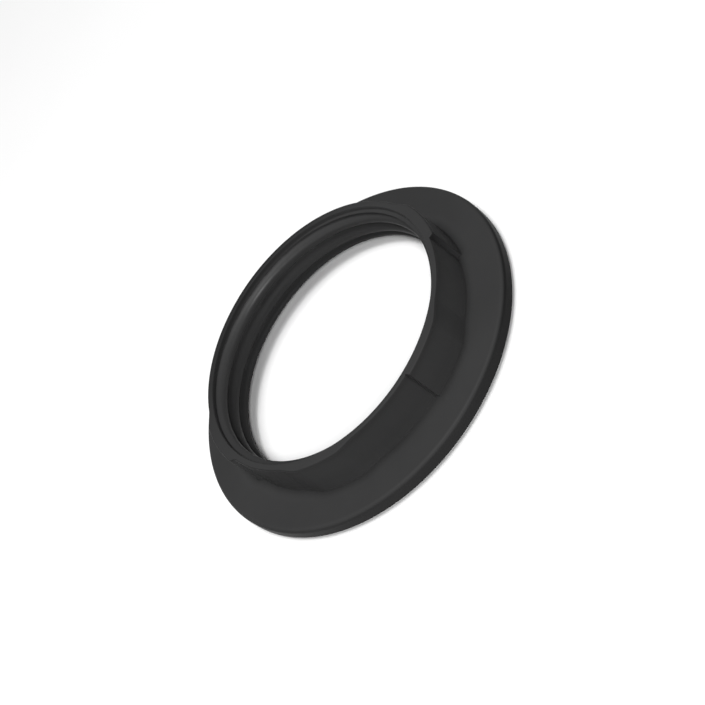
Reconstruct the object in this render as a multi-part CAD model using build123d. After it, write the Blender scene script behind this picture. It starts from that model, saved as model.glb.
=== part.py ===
from build123d import *
import math
import os

# Flanged ring with a short collar and a coarse internal thread, with the two rings
# that lie in the channel in its back. Millimetres, +Z along the axis from the seal
# towards the collar's rim, z = 0 at the gasket's lower face.

# ---- driving dimensions --------------------------------------------------------------
FLANGE_R = 27.5
FLANGE_THICKNESS = 2.1
FLANGE_FRONT_FILLET = 0.7
FLANGE_BACK_CHAMFER = 0.2

COLLAR_R = 21.2
RING_HEIGHT = 8.5
BASE_FILLET = 0.25
RIM_OUTER_FILLET = 0.25
RIM_INNER_FILLET = 0.15

BORE_R = 20.2
THREAD_CREST_R = 19.2
THREAD_PITCH = 2.5
# Height of the ridge's crest above the flange's back, in the direction of +Y.
THREAD_CREST_AT_Y = 6.35
# The ridge's straight flanks run on into the collar's wall, so it fuses cleanly. It is
# wound a little too high, and the crest is turned down to its radius afterwards.
RIDGE_ROOT_R = 20.5
RIDGE_ROOT_WIDTH = 2.3
RIDGE_CREST_WIDTH = 1.64
RIDGE_CREST_ROUND = 0.45
RIDGE_CREST_TRIM = 0.05
# The thread stops below the rim, on a cone of this rise per unit of radius.
MOUTH_DEPTH = 0.45
RUN_OUT_RISE = 0.62
TRIM_MARGIN = 0.5

LAND_LOW = 1.85
LAND_HIGH = 2.2
BACK_CONE_R = 21.6

CHANNEL_INNER_R = 22.3
CHANNEL_OUTER_R = 25.9
CHANNEL_DEPTH = 1.1
SEAL_CLEARANCE = 0.15
FRICTION_RING_THICKNESS = 0.3
GASKET_THICKNESS = 1.2

PAD_HEIGHT = 0.65
PAD_CHAMFER = 0.2
PAD_EMBED = 0.4
# Each pad's first and last angle, in degrees anticlockwise from +X seen from above.
PADS = ((-84.0, -57.5), (-145.0, -117.5), (-23.5, 3.0), (-205.5, -178.0))
STEP_LINE_WIDTH = 0.25
STEP_LINE_DEPTH = 0.2

# ---- heights that follow --------------------------------------------------------------
SEAL_STACK = FRICTION_RING_THICKNESS + GASKET_THICKNESS
BACK_Z = SEAL_STACK - CHANNEL_DEPTH
FACE_Z = BACK_Z + FLANGE_THICKNESS
RIM_Z = BACK_Z + RING_HEIGHT
MOUTH_Z = RIM_Z - MOUTH_DEPTH
CHANNEL_FLOOR_Z = BACK_Z + CHANNEL_DEPTH
LAND_LOW_Z = BACK_Z + LAND_LOW
LAND_HIGH_Z = BACK_Z + LAND_HIGH


def polygon(points):
    """Closed face in the XZ plane from (radius, height) corners."""
    corners = [(radius, 0, height) for radius, height in points]
    return make_face(Polyline(*corners, close=True))


def turned(points, arc=360.0):
    """Solid of revolution about Z from (radius, height) corners, from +X onwards."""
    return revolve(polygon(points), axis=Axis.Z, revolution_arc=arc)


def edges_at(solid, radius, height):
    """The solid's circular edges with this radius at this height."""
    found = solid.edges().filter_by(GeomType.CIRCLE)
    found = found.filter_by(lambda edge: abs(edge.radius - radius) < 1e-4)
    return found.filter_by(lambda edge: abs(edge.center().Z - height) < 1e-4)


def turned_body():
    """Flange and collar with a plain bore, the back cone and the seal's channel."""
    body = turned([
        (BACK_CONE_R, BACK_Z),
        (CHANNEL_INNER_R, BACK_Z),
        (CHANNEL_INNER_R, CHANNEL_FLOOR_Z),
        (CHANNEL_OUTER_R, CHANNEL_FLOOR_Z),
        (CHANNEL_OUTER_R, BACK_Z),
        (FLANGE_R - FLANGE_BACK_CHAMFER, BACK_Z),
        (FLANGE_R, BACK_Z + FLANGE_BACK_CHAMFER),
        (FLANGE_R, FACE_Z),
        (COLLAR_R, FACE_Z),
        (COLLAR_R, RIM_Z),
        (BORE_R, RIM_Z),
        (BORE_R, LAND_HIGH_Z),
        (THREAD_CREST_R, LAND_HIGH_Z),
        (THREAD_CREST_R, LAND_LOW_Z),
    ])
    body = fillet(edges_at(body, FLANGE_R, FACE_Z), FLANGE_FRONT_FILLET)
    body = fillet(edges_at(body, COLLAR_R, FACE_Z), BASE_FILLET)
    body = fillet(edges_at(body, COLLAR_R, RIM_Z), RIM_OUTER_FILLET)
    return fillet(edges_at(body, BORE_R, RIM_Z), RIM_INNER_FILLET)


def ridge_profile(centre_z):
    """The thread ridge's section in the XZ plane, rooted in the collar's wall."""
    apex = THREAD_CREST_R - RIDGE_CREST_TRIM
    shoulder = apex + RIDGE_CREST_ROUND
    root = RIDGE_ROOT_WIDTH / 2
    crest = RIDGE_CREST_WIDTH / 2
    outline = (
        Line((RIDGE_ROOT_R, 0, centre_z - root), (shoulder, 0, centre_z - crest))
        + ThreePointArc(
            (shoulder, 0, centre_z - crest),
            (apex, 0, centre_z),
            (shoulder, 0, centre_z + crest),
        )
        + Line((shoulder, 0, centre_z + crest), (RIDGE_ROOT_R, 0, centre_z + root))
        + Line((RIDGE_ROOT_R, 0, centre_z + root), (RIDGE_ROOT_R, 0, centre_z - root))
    )
    return make_face(outline)


def thread_ridge():
    """Right-hand ridge wound up the bore, cut off at the land and at the run-out."""
    crest_at_x = BACK_Z + THREAD_CREST_AT_Y - THREAD_PITCH / 4
    turns_below = math.ceil((crest_at_x - LAND_HIGH_Z) / THREAD_PITCH) + 1
    turns = turns_below + math.ceil((RIM_Z - crest_at_x) / THREAD_PITCH)
    start_z = crest_at_x - turns_below * THREAD_PITCH
    path = Helix(
        pitch=THREAD_PITCH,
        height=turns * THREAD_PITCH,
        radius=BORE_R,
        center=(0, 0, start_z),
    )
    ridge = sweep(ridge_profile(start_z), path=path, is_frenet=True)
    inner = THREAD_CREST_R - TRIM_MARGIN
    outer = RIDGE_ROOT_R + TRIM_MARGIN / 2
    cone_height = (BORE_R - inner) * RUN_OUT_RISE
    room = turned([
        (inner, LAND_HIGH_Z),
        (outer, LAND_HIGH_Z),
        (outer, MOUTH_Z),
        (BORE_R, MOUTH_Z),
        (inner, MOUTH_Z - cone_height),
    ])
    return ridge & room


def crest_bore():
    """The cylinder that turns the crest down to its radius, coaxial with the land."""
    height = RIM_Z + TRIM_MARGIN - LAND_LOW_Z
    return Pos(0, 0, LAND_LOW_Z + height / 2) * Cylinder(THREAD_CREST_R, height)


def collar_pad(first_deg, last_deg):
    """A shallow raised pad on the collar's wall, as high as the collar."""
    outer = COLLAR_R + PAD_HEIGHT
    inner = COLLAR_R - PAD_EMBED
    pad = turned(
        [
            (inner, FACE_Z - PAD_EMBED),
            (outer, FACE_Z - PAD_EMBED),
            (outer, RIM_Z - PAD_CHAMFER),
            (outer - PAD_CHAMFER, RIM_Z),
            (inner, RIM_Z),
        ],
        arc=last_deg - first_deg,
    )
    return Rot(0, 0, first_deg) * pad


def step_line():
    """The fine axial groove at the foot of the first pad's step."""
    angle = math.radians(PADS[0][0])
    side = Vector(math.sin(angle), -math.cos(angle), 0)
    outward = Vector(math.cos(angle), math.sin(angle), 0)
    reach = PAD_HEIGHT + STEP_LINE_DEPTH
    centre = outward * (COLLAR_R - STEP_LINE_DEPTH + reach / 2) + side * (STEP_LINE_WIDTH / 2)
    height = RIM_Z - FACE_Z
    block = Box(reach, STEP_LINE_WIDTH, height)
    return Pos(centre.X, centre.Y, FACE_Z + height / 2) * Rot(0, 0, PADS[0][0]) * block


def flange_ring():
    """The visible moulding: flange, collar, thread and collar pads in one solid."""
    ring = turned_body() + thread_ridge() - crest_bore()
    for first_deg, last_deg in PADS:
        ring += collar_pad(first_deg, last_deg)
    return ring - step_line()


def seal_ring(low_z, thickness):
    """A flat ring that lies in the channel with clearance on both sides."""
    inner = CHANNEL_INNER_R + SEAL_CLEARANCE
    outer = CHANNEL_OUTER_R - SEAL_CLEARANCE
    return turned([
        (inner, low_z),
        (outer, low_z),
        (outer, low_z + thickness),
        (inner, low_z + thickness),
    ])


PARTS = {
    "flange_ring": flange_ring(),
    "friction_ring": seal_ring(GASKET_THICKNESS, FRICTION_RING_THICKNESS),
    "sealing_gasket": seal_ring(0.0, GASKET_THICKNESS),
}

os.makedirs("parts", exist_ok=True)
for node, shape in PARTS.items():
    export_step(shape, f"parts/{node}.step")
    print(node, "solids", len(shape.solids()), "volume", round(shape.volume, 1))
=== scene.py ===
import math

import bpy
import numpy as np
from mathutils import Matrix, Vector


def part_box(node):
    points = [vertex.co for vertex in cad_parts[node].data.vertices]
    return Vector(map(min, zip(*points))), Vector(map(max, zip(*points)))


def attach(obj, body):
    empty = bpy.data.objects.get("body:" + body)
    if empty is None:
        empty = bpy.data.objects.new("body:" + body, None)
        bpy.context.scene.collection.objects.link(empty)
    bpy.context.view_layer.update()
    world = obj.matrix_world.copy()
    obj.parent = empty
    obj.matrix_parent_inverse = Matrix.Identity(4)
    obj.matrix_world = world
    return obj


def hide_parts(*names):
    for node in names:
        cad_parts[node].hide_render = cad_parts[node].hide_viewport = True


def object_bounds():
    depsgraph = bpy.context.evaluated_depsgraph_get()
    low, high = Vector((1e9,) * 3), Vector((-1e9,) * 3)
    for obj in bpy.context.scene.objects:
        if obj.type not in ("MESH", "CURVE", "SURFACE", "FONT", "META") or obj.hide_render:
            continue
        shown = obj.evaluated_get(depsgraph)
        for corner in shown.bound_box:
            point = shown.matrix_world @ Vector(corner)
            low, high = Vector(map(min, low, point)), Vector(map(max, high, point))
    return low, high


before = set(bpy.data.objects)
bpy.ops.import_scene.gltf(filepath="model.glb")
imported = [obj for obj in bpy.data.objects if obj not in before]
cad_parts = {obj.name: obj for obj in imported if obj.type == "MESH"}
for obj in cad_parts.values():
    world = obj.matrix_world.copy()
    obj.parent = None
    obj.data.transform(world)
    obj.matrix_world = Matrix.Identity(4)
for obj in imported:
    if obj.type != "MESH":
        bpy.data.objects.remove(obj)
cad_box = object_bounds()

MM = 0.001

# ---- sizes, in millimetres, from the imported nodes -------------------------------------
ring_low, ring_high = (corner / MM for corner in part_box("flange_ring"))
gasket_low, gasket_high = (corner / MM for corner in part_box("sealing_gasket"))
slip_low, slip_high = (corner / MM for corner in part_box("friction_ring"))

FLANGE_R = ring_high.x
BACK_Z = ring_low.z
RIM_Z = ring_high.z
CHANNEL_FLOOR_Z = slip_high.z

# ---- the rest of the ring's section, in millimetres -----------------------------------
FACE_Z = BACK_Z + 2.1
COLLAR_R = 21.2
BORE_R = 20.2
CREST_R = 19.2
LAND_LOW_Z = BACK_Z + 1.85
LAND_HIGH_Z = BACK_Z + 2.2
BACK_CONE_R = 21.6
SEAL_CLEARANCE = 0.15
CHANNEL_WIDTH = 3.6
CHANNEL_OUTER_R = gasket_high.x + SEAL_CLEARANCE
CHANNEL_INNER_R = CHANNEL_OUTER_R - CHANNEL_WIDTH
FLANGE_EDGE_ROUND = 0.7
RIM_OUTER_ROUND = 0.25
RIM_INNER_ROUND = 0.15
BASE_ROUND = 0.25
BACK_ROUND = 0.2
GASKET_ROUND = 0.12
SLIP_RING_ROUND = 0.05

# ---- thread -----------------------------------------------------------------------------
PITCH = 2.5
# Height of the ridge's crest in the direction of +Y, and half of the width of its root.
CREST_AT_Y_Z = BACK_Z + 6.35
RIDGE_HALF_ROOT = 1.05
# The power of a parabola that the ridge's section follows. Below 1 the ridge is fuller.
RIDGE_ROUNDNESS = 0.62
# Above the land the groove deepens to its full depth over this height.
START_RAMP = 0.4
# Upwards, the ridge fades out from FADE_DEPTH below the mouth, over FADE_LENGTH. It also stays
# outside the run-out cone, which narrows downwards from the mouth.
MOUTH_Z = RIM_Z - 0.45
FADE_DEPTH = 0.6
FADE_LENGTH = 0.35
RUN_OUT_RISE = 0.62
RUN_OUT_BLEND = 0.12
THREAD_ROWS = 76

# ---- pads on the collar's wall: first and last angle from +X, width of each end's ramp ---
PAD_HEIGHT = 0.65
PADS = (
    (-84.0, -58.5, 0.3, 10.0),
    (-145.5, -118.5, 10.0, 8.0),
    (-23.5, 3.0, 0.8, 8.0),
    (-205.5, -178.0, 8.0, 2.0),
)
# The fine line at the foot of the first pad's step: its width in degrees and its depth.
STEP_LINE_WIDTH = 0.5
STEP_LINE_DEPTH = 0.12

# ---- the mesh's columns, in degrees -------------------------------------------------------
COLUMNS = 400
STEEP_RAMP = 1.0
STEEP_COLUMN = 0.08
RAMP_COLUMN = 0.5
RAMP_MARGIN = 0.8
LEAST_COLUMN = 0.04
FLAT_RING_COLUMNS = 300

# ---- wear on edges, and a painted highlight on the first crest, from 0 to 1 ---------------
MOULDED_EDGE_WEAR = 0.1
INNER_RIM_WEAR = 0.2
BACK_CONE_WEAR = 0.3
CHANNEL_WEAR = 0.6
CREST_WEAR = 0.1
# A painted highlight on the first crest's upper flank, lighter and shinier, strongest near this
# angle.
CREST_PAINTED_HIGHLIGHT = 0.8
CREST_HIGHLIGHT_AT = 92.0
CREST_HIGHLIGHT_SPREAD = 70.0

# ---- painted light and shade: a factor on the plain moulding's colour, which is 1 ---------
# Gains are painted light and losses are painted shade, as shares. Those named RIGHT grow
# towards this angle, which is on the right when the ring is seen from -Y, and the third pad's
# step has its own.
RIGHT_AT = -15.0
WALL_TOP_TONE = 0.78
WALL_FOOT_GAIN = 0.45
WALL_FOOT_GAIN_RIGHT = 0.80
WALL_BASE_GAIN = 0.25
WALL_LOSS_RIGHT = 0.10
THIRD_STEP_AT = -24.0
THIRD_STEP_LOSS = 0.35
WALL_RIM_LOSS = 0.25
CREASE_LOSS = 0.26
FACE_GLOW = 0.09
FAR_RIM_AT = 100.0
FAR_RIM_LOSS = 0.35
MOUTH_LOSS = 0.15
EDGE_LOSS = 0.42
EDGE_LOSS_RIGHT = 0.43
CREST_LOSS = 0.25
GROOVE_GAIN = 0.5

# ---- materials' colours -------------------------------------------------------------------
PLASTIC_DARK = (0.0350, 0.0350, 0.0353)
PLASTIC_LIGHT = (0.0385, 0.0385, 0.0388)
# Worn edges, and the painted highlight on the first crest.
PLASTIC_WORN_AND_SHEEN = (0.050, 0.050, 0.0505)
RUBBER_DARK = (0.014, 0.014, 0.015)
RUBBER_TALC = (0.034, 0.034, 0.036)
SLIP_DARK = (0.58, 0.58, 0.54)
SLIP_LIGHT = (0.68, 0.68, 0.64)
FLOOR_DARK = (0.93, 0.93, 0.93)
FLOOR_LIGHT = (0.95, 0.95, 0.95)

# ---- lights: name, direction, distance and size in metres, watts ---------------------------
SKY_STRENGTH = 0.03
LIGHTS = (
    ("overhead", (0.0, 0.08, 1.0), 0.60, 0.26, 2.2),
    ("overhead_front", (0.0, -0.30, 1.0), 0.60, 0.20, 0.9),
    ("front", (0.0, -0.785, 0.619), 0.80, 0.12, 3.0),
    ("front_side", (-0.55, -0.70, 0.50), 0.80, 0.20, 0.7),
    ("side", (-0.9, -0.1, 0.35), 0.80, 0.20, 1.0),
)

# ---- floor, in metres ---------------------------------------------------------------------
FLOOR_HALF = 2.0
FLOOR_GAP = 0.00002

# ---- camera, at the object's usual viewing angle; the distances are in flange radii --------
VIEW_ELEVATION = math.radians(38.27)
VIEW_ROLL = math.radians(55.07)
VIEW_DISTANCE = 9.09
VIEW_SHIFT_RIGHT = -0.0188
VIEW_SHIFT_UP = 0.0344
LENS = 89.4
SENSOR = 36.0


def smooth(value):
    """Smooth step from 0 to 1 as value goes from 0 to 1."""
    value = np.clip(value, 0.0, 1.0)
    return value * value * (3.0 - 2.0 * value)


def above(value, start, blend):
    """0 up to start, rising to 1 over the length of blend."""
    return smooth((value - start) / blend)


def below(value, end, blend):
    """1 at first, falling over the length of blend to 0 at end."""
    return smooth((end - value) / blend)


def ramped(value):
    """Nearly straight ramp from 0 to 1, a little rounded at both ends."""
    value = np.clip(value, 0.0, 1.0)
    return 0.6 * value + 0.4 * smooth(value)


def turn_between(angle, other):
    """Signed turn in degrees from other to angle, the short way round."""
    return (angle - other + 180.0) % 360.0 - 180.0


def near_angle(angle, middle, half_width):
    """1 at the middle angle, falling smoothly to 0 at half_width degrees on both sides."""
    return smooth(1.0 - np.abs(turn_between(angle, middle)) / half_width)


def arc_points(centre_r, centre_z, radius, start_deg, end_deg, steps):
    """Points of an arc in the (radius, height) plane."""
    angles = np.radians(np.linspace(start_deg, end_deg, steps + 1))
    return [(centre_r + radius * math.cos(a), centre_z + radius * math.sin(a)) for a in angles]


def run(start, end, steps, guard=0.06):
    """Points strictly between two corners, with one close to each end to keep it flat."""
    start, end = np.array(start), np.array(end)
    share = min(guard / np.linalg.norm(end - start), 0.3)
    shares = np.linspace(share, 1.0 - share, steps)
    return [tuple(start + (end - start) * s) for s in shares]


# ---- the ring -----------------------------------------------------------------------------
def ring_angles():
    """Column angles in degrees: even, and closer together at the ends of the pads."""
    angles = list(np.linspace(-180.0, 180.0, COLUMNS, endpoint=False))
    for first, last, first_ramp, last_ramp in PADS:
        for edge, ramp in ((first, first_ramp), (last, last_ramp)):
            half = ramp / 2 + RAMP_MARGIN
            column = STEEP_COLUMN if ramp < STEEP_RAMP else RAMP_COLUMN
            angles += list(np.arange(edge - half, edge + half, column))
    angles = (np.array(angles) + 180.0) % 360.0 - 180.0
    angles = np.unique(np.round(angles, 3))
    keep = np.append(True, np.diff(angles) > LEAST_COLUMN)
    return angles[keep]


def wall_radius(angle):
    """Outer radius of the collar's wall at an angle: pads, and the line at the first step."""
    radius = COLLAR_R
    for first, last, first_ramp, last_ramp in PADS:
        middle = (first + last) / 2
        near = middle + turn_between(angle, middle)
        rise = ramped((near - first) / first_ramp + 0.5)
        fall = ramped((last - near) / last_ramp + 0.5)
        radius += PAD_HEIGHT * rise * fall
    foot = PADS[0][0] - PADS[0][2] / 2
    across = (foot - angle) / STEP_LINE_WIDTH
    if 0.0 < across < 1.0:
        radius -= STEP_LINE_DEPTH * math.sin(math.pi * across) ** 0.5
    return radius


def thread_radius(angle, height):
    """Bore radius at an angle and heights: a right-hand ridge with its run-in and run-out."""
    crest_z = CREST_AT_Y_Z + PITCH * (angle - 90.0) / 360.0
    along = np.abs((height - crest_z + PITCH / 2) % PITCH - PITCH / 2)
    share = np.clip(1.0 - (along / RIDGE_HALF_ROOT) ** 2, 0.0, 1.0)
    ridge = share**RIDGE_ROUNDNESS * (BORE_R - CREST_R)
    groove = (BORE_R - CREST_R - ridge) * above(height, LAND_HIGH_Z, START_RAMP)
    thread = CREST_R + groove
    thread += (BORE_R - thread) * above(height, MOUTH_Z - FADE_DEPTH, FADE_LENGTH)
    cone = BORE_R - (MOUTH_Z - height) / RUN_OUT_RISE
    gap = thread - cone
    return (thread + cone + np.sqrt(gap * gap + RUN_OUT_BLEND**2)) / 2


def crest_wear_and_highlight(angle, radii, heights):
    """Wear of the bore on the flank and crest of the thread's first turn, and above, plus a
    painted highlight on the first crest's upper flank, strongest near one angle.
    """
    first_crest_z = CREST_AT_Y_Z + PITCH * (angle % 360.0 - 90.0) / 360.0
    flank = np.clip(1.1 - (radii - CREST_R) / 1.1, 0.0, 1.0)
    upper = above(heights, first_crest_z + 0.1, 0.4)
    rub_and_sheen_share = CREST_PAINTED_HIGHLIGHT * near_angle(angle, CREST_HIGHLIGHT_AT, CREST_HIGHLIGHT_SPREAD)
    return flank * upper * (CREST_WEAR + rub_and_sheen_share)


def ring_section(angle):
    """The closed section at one angle: (radius, height, edge wear and painted highlight) rows,
    bore first.
    """
    wall = wall_radius(angle)
    rows = []

    def add(points, wear_and_sheen=0.0):
        rows.extend((r, z, wear_and_sheen) for r, z in points)

    heights = np.linspace(LAND_HIGH_Z, MOUTH_Z, THREAD_ROWS)
    radii = np.minimum(thread_radius(angle, heights), BORE_R)
    radii[0] = CREST_R
    wear_and_sheen = crest_wear_and_highlight(angle, radii, heights)

    inner_rim = (BORE_R + RIM_INNER_ROUND, RIM_Z - RIM_INNER_ROUND)
    outer_rim = (wall - RIM_OUTER_ROUND, RIM_Z - RIM_OUTER_ROUND)
    base = (wall + BASE_ROUND, FACE_Z + BASE_ROUND)
    edge = (FLANGE_R - FLANGE_EDGE_ROUND, FACE_Z - FLANGE_EDGE_ROUND)
    back_edge = (FLANGE_R - BACK_ROUND, BACK_Z + BACK_ROUND)

    add([(BACK_CONE_R, BACK_Z)], BACK_CONE_WEAR)
    add(run((BACK_CONE_R, BACK_Z), (CREST_R, LAND_LOW_Z), 6))
    add([(CREST_R, LAND_LOW_Z)], MOULDED_EDGE_WEAR)
    add(run((CREST_R, LAND_LOW_Z), (CREST_R, LAND_HIGH_Z), 5))
    rows.extend(zip(radii, heights, wear_and_sheen))
    add(run((BORE_R, MOUTH_Z), (BORE_R, RIM_Z - RIM_INNER_ROUND), 3))
    add(arc_points(*inner_rim, RIM_INNER_ROUND, 180.0, 90.0, 4), INNER_RIM_WEAR)
    add(run((inner_rim[0], RIM_Z), (outer_rim[0], RIM_Z), 4), MOULDED_EDGE_WEAR)
    add(arc_points(*outer_rim, RIM_OUTER_ROUND, 90.0, 0.0, 5), MOULDED_EDGE_WEAR)
    add(run((wall, outer_rim[1]), (wall, base[1]), 8))
    add(arc_points(*base, BASE_ROUND, 180.0, 270.0, 5))
    add(run((base[0], FACE_Z), (edge[0], FACE_Z), 10))
    add(arc_points(*edge, FLANGE_EDGE_ROUND, 90.0, 0.0, 10), MOULDED_EDGE_WEAR)
    add(run((FLANGE_R, edge[1]), (FLANGE_R, back_edge[1]), 4))
    add(arc_points(*back_edge, BACK_ROUND, 0.0, -90.0, 4), MOULDED_EDGE_WEAR)
    add(run((back_edge[0], BACK_Z), (CHANNEL_OUTER_R, BACK_Z), 4))
    add([(CHANNEL_OUTER_R, BACK_Z)], CHANNEL_WEAR)
    add(run((CHANNEL_OUTER_R, BACK_Z), (CHANNEL_OUTER_R, CHANNEL_FLOOR_Z), 3))
    add([(CHANNEL_OUTER_R, CHANNEL_FLOOR_Z)])
    add(run((CHANNEL_OUTER_R, CHANNEL_FLOOR_Z), (CHANNEL_INNER_R, CHANNEL_FLOOR_Z), 4))
    add([(CHANNEL_INNER_R, CHANNEL_FLOOR_Z)])
    add(run((CHANNEL_INNER_R, CHANNEL_FLOOR_Z), (CHANNEL_INNER_R, BACK_Z), 3))
    add([(CHANNEL_INNER_R, BACK_Z)], CHANNEL_WEAR)
    add(run((CHANNEL_INNER_R, BACK_Z), (BACK_CONE_R, BACK_Z), 3))
    return np.array(rows)


def wall_tone(angle, wall, radius, height):
    """Painted shade and light on the collar's wall: darker towards the rim and at the third
    pad's step, lighter towards its foot, most of all on the right.
    """
    on_wall = above(radius, wall - 0.3, 0.05) * below(radius, wall + 0.05, 0.05)
    on_wall = on_wall * below(height, RIM_Z, 0.05) * above(height, FACE_Z, 0.25)
    right = near_angle(angle, RIGHT_AT, 65.0)
    foot = np.clip((RIM_Z - height) / (RIM_Z - FACE_Z), 0.0, 1.0)
    tone = WALL_TOP_TONE + (WALL_FOOT_GAIN + WALL_FOOT_GAIN_RIGHT * right) * foot
    tone = tone + WALL_BASE_GAIN * above(foot, 0.725, 0.25)
    third_step = near_angle(angle, THIRD_STEP_AT, 3.0)
    tone = tone * (1.0 - WALL_LOSS_RIGHT * right - THIRD_STEP_LOSS * third_step)
    tone = tone * (1.0 - WALL_RIM_LOSS * above(height, RIM_Z - 0.5, 0.4))
    return 1.0 + (tone - 1.0) * on_wall


def base_tone(wall, radius, height):
    """Painted shade in the crease at the wall's base, and a faint painted band of light on the
    flange beside it.
    """
    from_base = np.hypot(np.maximum(radius - wall, 0.0), np.maximum(height - FACE_Z, 0.0))
    crease = below(from_base, 0.375, 0.3)
    beside = below(np.abs(from_base - 1.1), 1.0, 1.0) * (height < FACE_Z + 0.01)
    return (1.0 - CREASE_LOSS * crease) * (1.0 + FACE_GLOW * beside)


def rim_tone(angle, radius, height):
    """Painted shade on the far rim, and on the plain wall of the mouth below the rim."""
    on_rim = above(radius, BORE_R - 0.05, 0.05) * above(height, RIM_Z - 1.0, 0.6)
    far = near_angle(angle, FAR_RIM_AT, 90.0)
    mouth = above(radius, BORE_R - 0.1, 0.1) * below(radius, BORE_R + 0.1, 0.1)
    mouth = mouth * below(height, RIM_Z, 0.05) * above(height, MOUTH_Z - 0.3, 0.2)
    return (1.0 - FAR_RIM_LOSS * on_rim * far) * (1.0 - MOUTH_LOSS * mouth)


def edge_tone(angle, radius, height):
    """Painted shade on the flange's edge, darkest on the right."""
    edge = above(radius, FLANGE_R - 0.6, 0.5) * below(height, FACE_Z, 0.4)
    return 1.0 - edge * (EDGE_LOSS + EDGE_LOSS_RIGHT * near_angle(angle, RIGHT_AT, 80.0))


def bore_tone(radius, height):
    """Painted light and shade on the thread below the first crest: its crests are painted
    darker and its grooves lighter.
    """
    bore = below(radius, BORE_R + 0.3, 0.3) * below(height, MOUTH_Z - 1.0, 1.0)
    groove = np.clip((radius - CREST_R) / (BORE_R - CREST_R), 0.0, 1.0) * (height > LAND_HIGH_Z)
    return 1.0 - bore * (CREST_LOSS - GROOVE_GAIN * groove)


def painted_light_and_shade(angle, radius, height):
    """Painted light and shade: how much lighter or darker the colour is than the plain
    moulding, which is 1.
    """
    wall = np.array([[wall_radius(turn)] for turn in angle[:, 0]])
    tone = wall_tone(angle, wall, radius, height) * base_tone(wall, radius, height)
    tone = tone * rim_tone(angle, radius, height) * edge_tone(angle, radius, height)
    return (tone * bore_tone(radius, height)).astype(np.float32)


def turned_mesh(name, angles, sections):
    """A closed mesh from one section at each angle, with edge wear and painted highlight, and
    painted light and shade, on its points.
    """
    columns, rows = len(angles), len(sections[0])
    cosine, sine = np.cos(np.radians(angles)), np.sin(np.radians(angles))
    sections = np.array(sections)
    points = np.empty((columns, rows, 3))
    points[:, :, 0] = sections[:, :, 0] * cosine[:, None]
    points[:, :, 1] = sections[:, :, 0] * sine[:, None]
    points[:, :, 2] = sections[:, :, 1]
    here = np.arange(columns * rows).reshape(columns, rows)
    beside = np.roll(here, -1, axis=0)
    faces = np.stack(
        [here, np.roll(here, -1, axis=1), np.roll(beside, -1, axis=1), beside], axis=-1
    )
    mesh = bpy.data.meshes.new(name)
    mesh.from_pydata((points.reshape(-1, 3) * MM).tolist(), [], faces.reshape(-1, 4).tolist())
    wear_and_sheen = mesh.attributes.new("wear_and_sheen", "FLOAT", "POINT")
    wear_and_sheen.data.foreach_set("value", sections[:, :, 2].astype(np.float32).ravel())
    # The tone attribute is painted light and shade, a factor on the colour.
    tone = mesh.attributes.new("tone", "FLOAT", "POINT")
    tones = painted_light_and_shade(angles[:, None], sections[:, :, 0], sections[:, :, 1])
    tone.data.foreach_set("value", tones.ravel())
    mesh.polygons.foreach_set("use_smooth", [True] * len(mesh.polygons))
    mesh.validate()
    mesh.update()
    piece = bpy.data.objects.new(name, mesh)
    bpy.context.scene.collection.objects.link(piece)
    return piece


def mark_corners(piece, corner_deg=40.0):
    """Edges that turn more than this are kept sharp in the shading."""
    piece.data.set_sharp_from_angle(angle=math.radians(corner_deg))


# ---- materials ------------------------------------------------------------------------------
class Nodes:
    """A new node material and short calls to add and link its nodes."""

    def __init__(self, name):
        self.material = bpy.data.materials.new(name)
        self.material.use_nodes = True
        self.tree = self.material.node_tree
        self.shader = self.tree.nodes["Principled BSDF"]
        self.place = self.add("ShaderNodeTexCoord").outputs["Object"]

    def add(self, kind, **settings):
        node = self.tree.nodes.new(kind)
        for key, value in settings.items():
            setattr(node, key, value)
        return node

    def link(self, source, target):
        self.tree.links.new(source, target)

    def noise(self, size_mm, detail=3.0, roughness=0.55):
        """Noise whose features are about size_mm across."""
        node = self.add("ShaderNodeTexNoise")
        node.inputs["Scale"].default_value = 1.0 / (size_mm * MM)
        node.inputs["Detail"].default_value = detail
        node.inputs["Roughness"].default_value = roughness
        self.link(self.place, node.inputs["Vector"])
        return node.outputs["Fac"]

    def ranged(self, source, low, high, from_low=0.3, from_high=0.7):
        """source mapped from its own range to low..high."""
        node = self.add("ShaderNodeMapRange")
        node.inputs["From Min"].default_value = from_low
        node.inputs["From Max"].default_value = from_high
        node.inputs["To Min"].default_value = low
        node.inputs["To Max"].default_value = high
        self.link(source, node.inputs["Value"])
        return node.outputs["Result"]

    def math(self, operation, first, second):
        """A sum on two values; each is a number or a socket."""
        node = self.add("ShaderNodeMath", operation=operation)
        for socket, value in zip(node.inputs, (first, second)):
            if isinstance(value, (int, float)):
                socket.default_value = value
            else:
                self.link(value, socket)
        return node.outputs["Value"]

    def blend(self, share, first, second):
        """Colour between first and second; each is a colour tuple or a socket."""
        node = self.add("ShaderNodeMix", data_type="RGBA")
        self.link(share, node.inputs["Factor"])
        for socket, value in ((node.inputs[6], first), (node.inputs[7], second)):
            if isinstance(value, tuple):
                socket.default_value = (*value, 1.0)
            else:
                self.link(value, socket)
        return node.outputs[2]

    def scaled(self, colour, factor):
        """The colour times a factor."""
        node = self.add("ShaderNodeVectorMath", operation="SCALE")
        self.link(colour, node.inputs["Vector"])
        self.link(factor, node.inputs["Scale"])
        return node.outputs["Vector"]

    def bump(self, height, distance_mm, strength, under=None):
        """The shading normal of a relief, on top of another normal where one is given."""
        node = self.add("ShaderNodeBump")
        node.inputs["Distance"].default_value = distance_mm * MM
        node.inputs["Strength"].default_value = strength
        self.link(height, node.inputs["Height"])
        if under is not None:
            self.link(under, node.inputs["Normal"])
        return node.outputs["Normal"]


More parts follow.
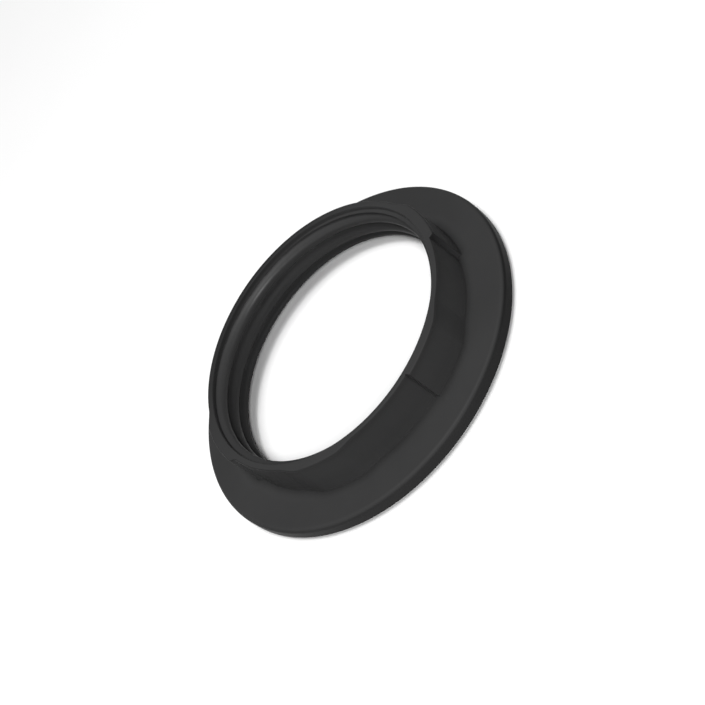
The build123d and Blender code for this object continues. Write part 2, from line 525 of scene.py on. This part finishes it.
def moulded_plastic():
    """Satin black moulded plastic: fine eroded grain, cloudy tone, scuffed edges, a painted
    highlight on the first crest, and painted light and shade from the tone attribute.
    """
    n = Nodes("moulded_plastic_black")
    cloud = n.noise(9.0, detail=4.0)
    grain = n.noise(0.16, detail=2.0)
    speck = n.noise(0.6, detail=5.0, roughness=0.7)
    plain = n.blend(n.ranged(cloud, 0.0, 1.0), PLASTIC_DARK, PLASTIC_LIGHT)
    # The attribute below holds edge wear and a painted highlight on the first crest; both
    # lighten the colour.
    wear_and_sheen = n.add("ShaderNodeAttribute", attribute_name="wear_and_sheen").outputs["Fac"]
    rub_and_sheen_share = n.math("MULTIPLY", wear_and_sheen, n.ranged(speck, 0.15, 0.75))
    worn_and_sheen = n.blend(rub_and_sheen_share, plain, PLASTIC_WORN_AND_SHEEN)
    # The tone attribute is painted light and shade: a factor that makes the colour lighter or
    # darker.
    tone = n.add("ShaderNodeAttribute", attribute_name="tone").outputs["Fac"]
    n.link(n.scaled(worn_and_sheen, tone), n.shader.inputs["Base Color"])
    rough = n.math("ADD", n.ranged(speck, 0.40, 0.47), n.ranged(grain, -0.02, 0.02))
    rough = n.math("SUBTRACT", rough, n.math("MULTIPLY", wear_and_sheen, 0.10))
    n.link(rough, n.shader.inputs["Roughness"])
    swell = n.bump(n.noise(3.5, detail=1.0), 0.02, 0.25)
    n.link(n.bump(grain, 0.006, 0.35, under=swell), n.shader.inputs["Normal"])
    polish = n.math("MULTIPLY", n.math("MULTIPLY", wear_and_sheen, wear_and_sheen), 0.25)
    n.link(n.math("ADD", polish, 0.03), n.shader.inputs["Specular IOR Level"])
    return n.material


def gasket_rubber():
    """Matt black rubber with a thin talc bloom."""
    n = Nodes("gasket_rubber_black")
    bloom = n.noise(2.2, detail=5.0, roughness=0.65)
    grain = n.noise(0.09, detail=2.0)
    share = n.ranged(bloom, 0.0, 0.6)
    n.link(n.blend(share, RUBBER_DARK, RUBBER_TALC), n.shader.inputs["Base Color"])
    n.link(n.ranged(bloom, 0.62, 0.82), n.shader.inputs["Roughness"])
    n.link(n.bump(grain, 0.01, 0.5), n.shader.inputs["Normal"])
    n.shader.inputs["Specular IOR Level"].default_value = 0.35
    return n.material


def slip_plastic():
    """Milky natural plastic of the thin slip ring."""
    n = Nodes("slip_plastic_natural")
    cloud = n.noise(4.0, detail=3.0)
    scratch = n.noise(0.12, detail=2.0)
    share = n.ranged(cloud, 0.0, 1.0)
    n.link(n.blend(share, SLIP_DARK, SLIP_LIGHT), n.shader.inputs["Base Color"])
    n.link(n.ranged(scratch, 0.34, 0.46), n.shader.inputs["Roughness"])
    n.link(n.bump(scratch, 0.003, 0.3), n.shader.inputs["Normal"])
    return n.material


def floor_material():
    """Plain pale matt floor."""
    n = Nodes("floor_pale")
    tone = n.ranged(n.noise(60.0), 0.0, 1.0)
    n.link(n.blend(tone, FLOOR_DARK, FLOOR_LIGHT), n.shader.inputs["Base Color"])
    n.shader.inputs["Roughness"].default_value = 0.9
    n.shader.inputs["Specular IOR Level"].default_value = 0.1
    return n.material


# ---- pieces -------------------------------------------------------------------------------
def make_ring():
    """The visible moulding, in place of its CAD node."""
    angles = ring_angles()
    ring = turned_mesh("ring_moulding", angles, [ring_section(angle) for angle in angles])
    mark_corners(ring)
    ring.data.materials.append(moulded_plastic())
    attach(ring, "ring")
    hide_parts("flange_ring")
    return ring


def flat_ring_section(low, high, rounding):
    """Section of a flat ring with rounded corners, from its CAD box."""
    outer = high.x
    inner = outer - (CHANNEL_WIDTH - 2 * SEAL_CLEARANCE)
    low_z, high_z = low.z, high.z
    corners = (
        (inner + rounding, low_z + rounding, 270.0, 180.0),
        (inner + rounding, high_z - rounding, 180.0, 90.0),
        (outer - rounding, high_z - rounding, 90.0, 0.0),
        (outer - rounding, low_z + rounding, 0.0, -90.0),
    )
    arcs = [arc_points(r, z, rounding, start, end, 4) for r, z, start, end in corners]
    points = []
    for index, arc in enumerate(arcs):
        following = arcs[(index + 1) % len(arcs)]
        points += arc + run(arc[-1], following[0], 3, guard=rounding / 2)
    return np.array([(r, z, 0.0) for r, z in points])


def make_flat_ring(name, node, low, high, rounding, material):
    """One of the two rings in the channel, in place of its CAD node."""
    angles = np.linspace(-180.0, 180.0, FLAT_RING_COLUMNS, endpoint=False)
    section = flat_ring_section(low, high, rounding)
    piece = turned_mesh(name, angles, [section] * len(angles))
    piece.data.materials.append(material)
    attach(piece, "seal")
    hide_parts(node)
    return piece


def make_floor():
    """A large plain floor, a hair below the lowest face."""
    half = FLOOR_HALF
    corners = [(-half, -half, 0.0), (half, -half, 0.0), (half, half, 0.0), (-half, half, 0.0)]
    mesh = bpy.data.meshes.new("floor")
    mesh.from_pydata(corners, [], [(0, 1, 2, 3)])
    mesh.materials.append(floor_material())
    floor = bpy.data.objects.new("floor", mesh)
    floor.location.z = cad_box[0].z - FLOOR_GAP
    bpy.context.scene.collection.objects.link(floor)


def make_camera():
    """Camera above the ring's near side, rolled about its own line of sight."""
    back = Vector((0, -math.cos(VIEW_ELEVATION), math.sin(VIEW_ELEVATION)))
    level_right = Vector((1, 0, 0))
    level_up = Vector((0, math.sin(VIEW_ELEVATION), math.cos(VIEW_ELEVATION)))
    right = math.cos(VIEW_ROLL) * level_right - math.sin(VIEW_ROLL) * level_up
    up = math.sin(VIEW_ROLL) * level_right + math.cos(VIEW_ROLL) * level_up
    reach = VIEW_SHIFT_RIGHT * right + VIEW_SHIFT_UP * up + VIEW_DISTANCE * back
    place = Vector((0, 0, BACK_Z * MM)) + reach * FLANGE_R * MM
    data = bpy.data.cameras.new("camera")
    data.sensor_width = SENSOR
    data.lens = LENS
    data.clip_start = 0.01
    data.clip_end = 20.0
    camera = bpy.data.objects.new("camera", data)
    turn = Matrix((right, up, back)).transposed().to_4x4()
    camera.matrix_world = Matrix.Translation(place) @ turn
    bpy.context.scene.collection.objects.link(camera)
    bpy.context.scene.camera = camera


def area_light(name, direction, distance, size, watts):
    """A square soft light that points at the object from a direction."""
    data = bpy.data.lights.new(name, "AREA")
    data.shape = "SQUARE"
    data.size = size
    data.energy = watts
    light = bpy.data.objects.new(name, data)
    towards = Vector(direction).normalized()
    light.location = towards * distance
    light.rotation_mode = "QUATERNION"
    light.rotation_quaternion = towards.to_track_quat("Z", "Y")
    bpy.context.scene.collection.objects.link(light)


def make_lights():
    """Soft studio light: a weak even sky, keys from above and in front, weak fills."""
    world = bpy.data.worlds.new("studio")
    world.use_nodes = True
    sky = world.node_tree.nodes["Background"]
    sky.inputs["Color"].default_value = (1.0, 1.0, 1.0, 1.0)
    sky.inputs["Strength"].default_value = SKY_STRENGTH
    bpy.context.scene.world = world
    for light in LIGHTS:
        area_light(*light)
    view = bpy.context.scene.view_settings
    view.view_transform = "Standard"
    view.look = "None"


make_camera()
make_floor()
make_lights()
make_ring()
make_flat_ring(
    "gasket", "sealing_gasket", gasket_low, gasket_high, GASKET_ROUND, gasket_rubber()
)
make_flat_ring(
    "slip_ring", "friction_ring", slip_low, slip_high, SLIP_RING_ROUND, slip_plastic()
)
